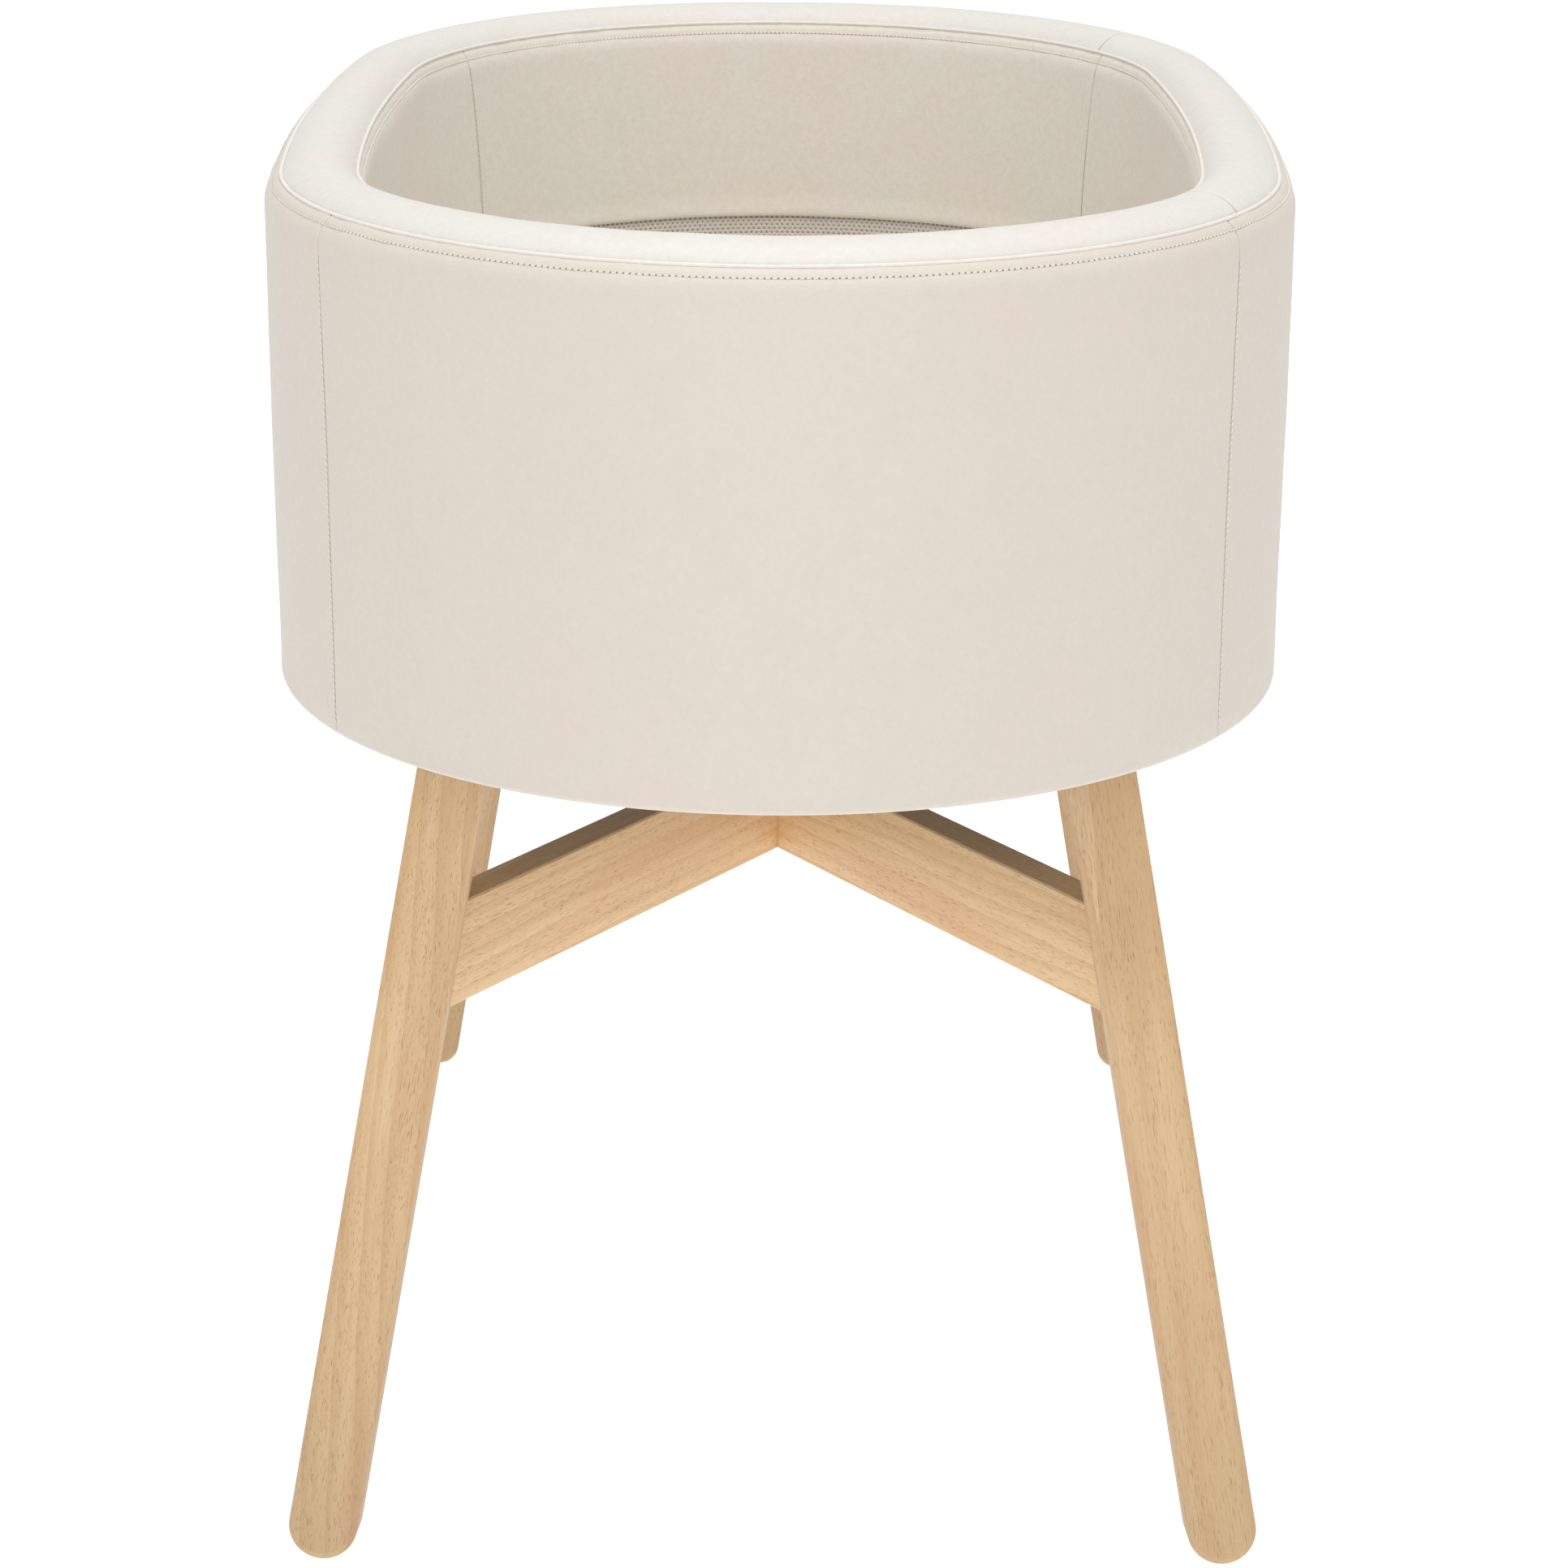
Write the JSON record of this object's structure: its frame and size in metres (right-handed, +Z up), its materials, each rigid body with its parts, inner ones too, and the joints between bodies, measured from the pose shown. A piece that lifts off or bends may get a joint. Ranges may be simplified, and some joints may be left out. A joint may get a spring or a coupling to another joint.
{
  "type": "bassinet on stand",
  "caption": "Oval padded bassinet basket with piped rim, mesh-banded lining and lift-out mattress, standing on splayed wooden legs tied by a crossed brace.",
  "frame": {"origin": "on the floor, under the centre of the basket", "axes": "+X across the basket's width, +Y along its length, +Z up"},
  "size_m": [0.5278, 0.792, 0.6911],
  "materials": {
    "faux_leather": "satin cream faux leather",
    "faux_leather_lining": "satin cream faux leather",
    "spacer_mesh": "off-white knitted spacer mesh",
    "lining_cloth": "plain woven cloth",
    "ticking": "quilted ticking",
    "foam": "open-cell foam",
    "plywood": "raw plywood",
    "leg_wood": "clear satin lacquer on light hardwood",
    "steel": "zinc plated",
    "zip_coil": "nylon coil",
    "zip_metal": "nickel plated"
  },
  "bodies": {
    "bassinet": {"base_board": "plywood", "brace_dowels": "leg_wood", "brace_left_to_right": "leg_wood", "brace_right_to_left": "leg_wood", "cover_end_far": "faux_leather", "cover_end_near": "faux_leather", "cover_side_left": "faux_leather", "cover_side_right": "faux_leather", "dust_cover": "lining_cloth", "floor_lining": "lining_cloth", "leg_far_left": "leg_wood", "leg_far_right": "leg_wood", "leg_near_left": "leg_wood", "leg_near_right": "leg_wood", "leg_plate_far_left": "steel", "leg_plate_far_right": "steel", "leg_plate_near_left": "steel", "leg_plate_near_right": "steel", "leg_screws": "steel", "lining_end_far": "faux_leather_lining", "lining_end_near": "faux_leather_lining", "lining_side_left": "faux_leather_lining", "lining_side_right": "faux_leather_lining", "mesh_band": "spacer_mesh", "padding_end_far": "foam", "padding_end_near": "foam", "padding_side_left": "foam", "padding_side_right": "foam", "piping_inner": "faux_leather", "piping_outer": "faux_leather", "plate_bolts": "steel", "rim_cover_main": "faux_leather", "rim_cover_right": "faux_leather", "shell_far": "plywood", "shell_near": "plywood", "shell_screws": "steel", "shell_splices": "plywood", "tee_nuts": "steel"},
    "mattress": {"mattress_core": "foam", "mattress_cover_base": "ticking", "mattress_cover_top": "ticking", "mattress_zip": "zip_coil"},
    "zip_slider": {"zip_slider": "zip_metal"}
  },
  "joints": [
    {"name": "mattress_lift", "type": "slide", "parent": "bassinet", "child": "mattress", "axis": [0, 0, 1], "range_m": [0, 0.3]},
    {"name": "zip_run", "type": "hinge", "parent": "mattress", "child": "zip_slider", "pos_m": [-1.736, 0, 0], "axis": [0, 0, 1], "range_deg": [0, 6]}
  ]
}
